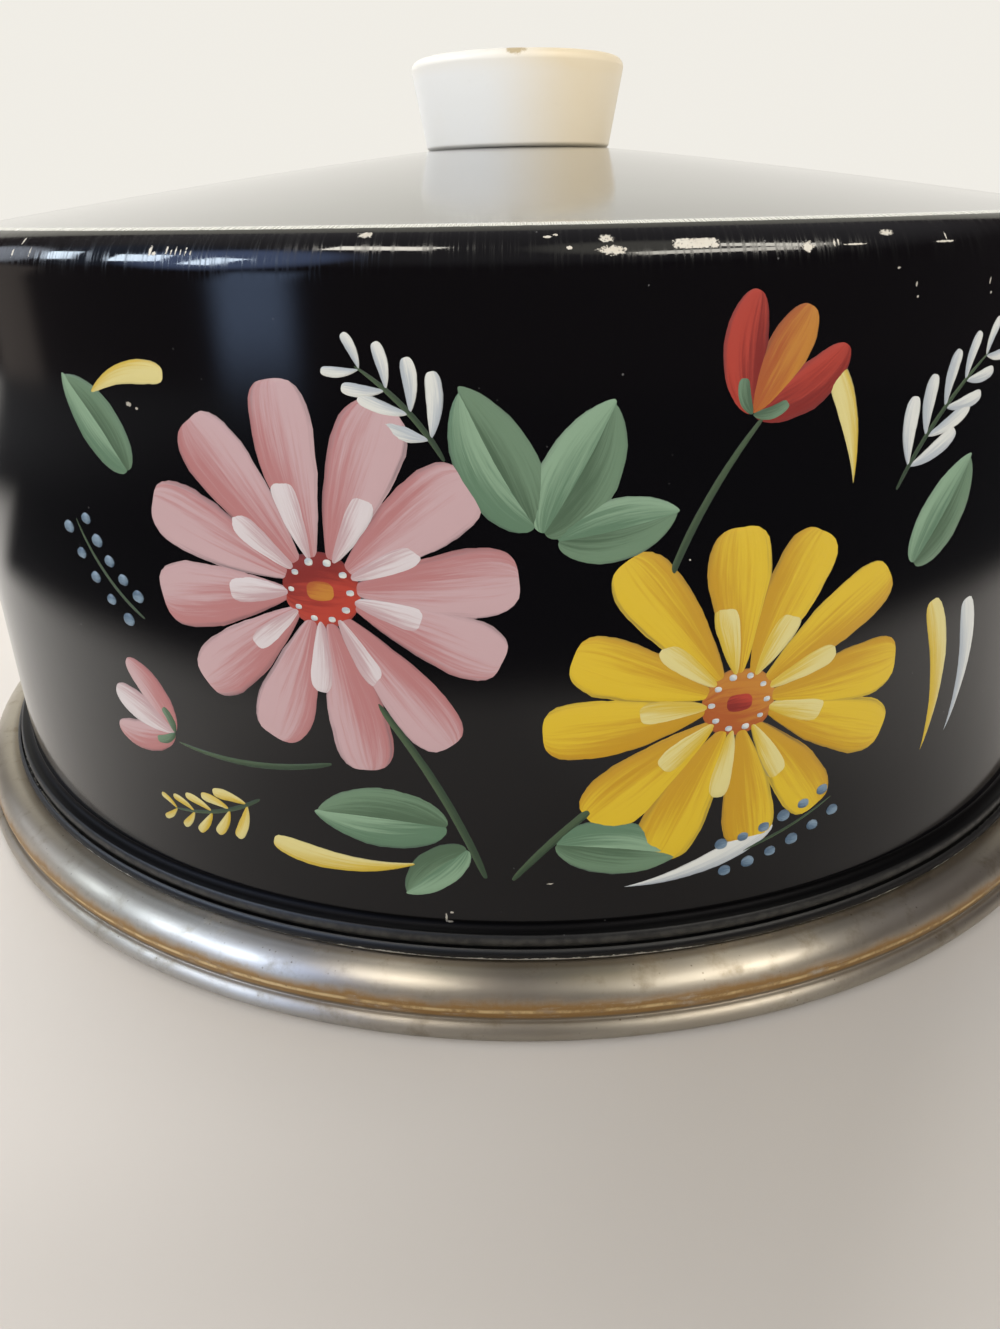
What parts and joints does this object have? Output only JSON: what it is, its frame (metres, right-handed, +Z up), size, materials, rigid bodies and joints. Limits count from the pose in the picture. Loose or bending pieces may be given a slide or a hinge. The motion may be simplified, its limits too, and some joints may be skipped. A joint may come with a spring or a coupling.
{
  "type": "cake tin",
  "caption": "Round metal cake tin: a drum cover with a low domed top, curled hem and moulded knob, which lifts off a pressed tray with a raised platform.",
  "frame": {"origin": "on the table at the middle of the tray's foot", "axes": "+Z up through the knob's screw; -Y faces the viewer of the picture, +X to the viewer's right"},
  "size_m": [0.2768, 0.2768, 0.1511],
  "materials": {
    "tinned_steel": "old tinplate, dull, rust-stained in the crease above the foot",
    "black_enamel": "glossy black enamel with small chips and scratches",
    "knob_plastic": "cream moulded plastic, yellowed with age",
    "insert_brass": "turned brass",
    "zinc_steel": "zinc-plated steel",
    "flower_paint": "hand-painted oil enamel decoration on the cover, in pink, yellow, white, red, green and blue"
  },
  "bodies": {
    "tray": {"base_tray": "tinned_steel"},
    "cover": {"cover_shell": "black_enamel", "lid_knob": "knob_plastic", "knob_insert": "insert_brass", "knob_screw": "zinc_steel", "lock_washer": "zinc_steel", "flat_washer": "zinc_steel"}
  },
  "joints": [
    {"name": "cover_lift", "type": "slide", "parent": "tray", "child": "cover", "axis": [0, 0, 1], "range_m": [0, 0.15]}
  ]
}
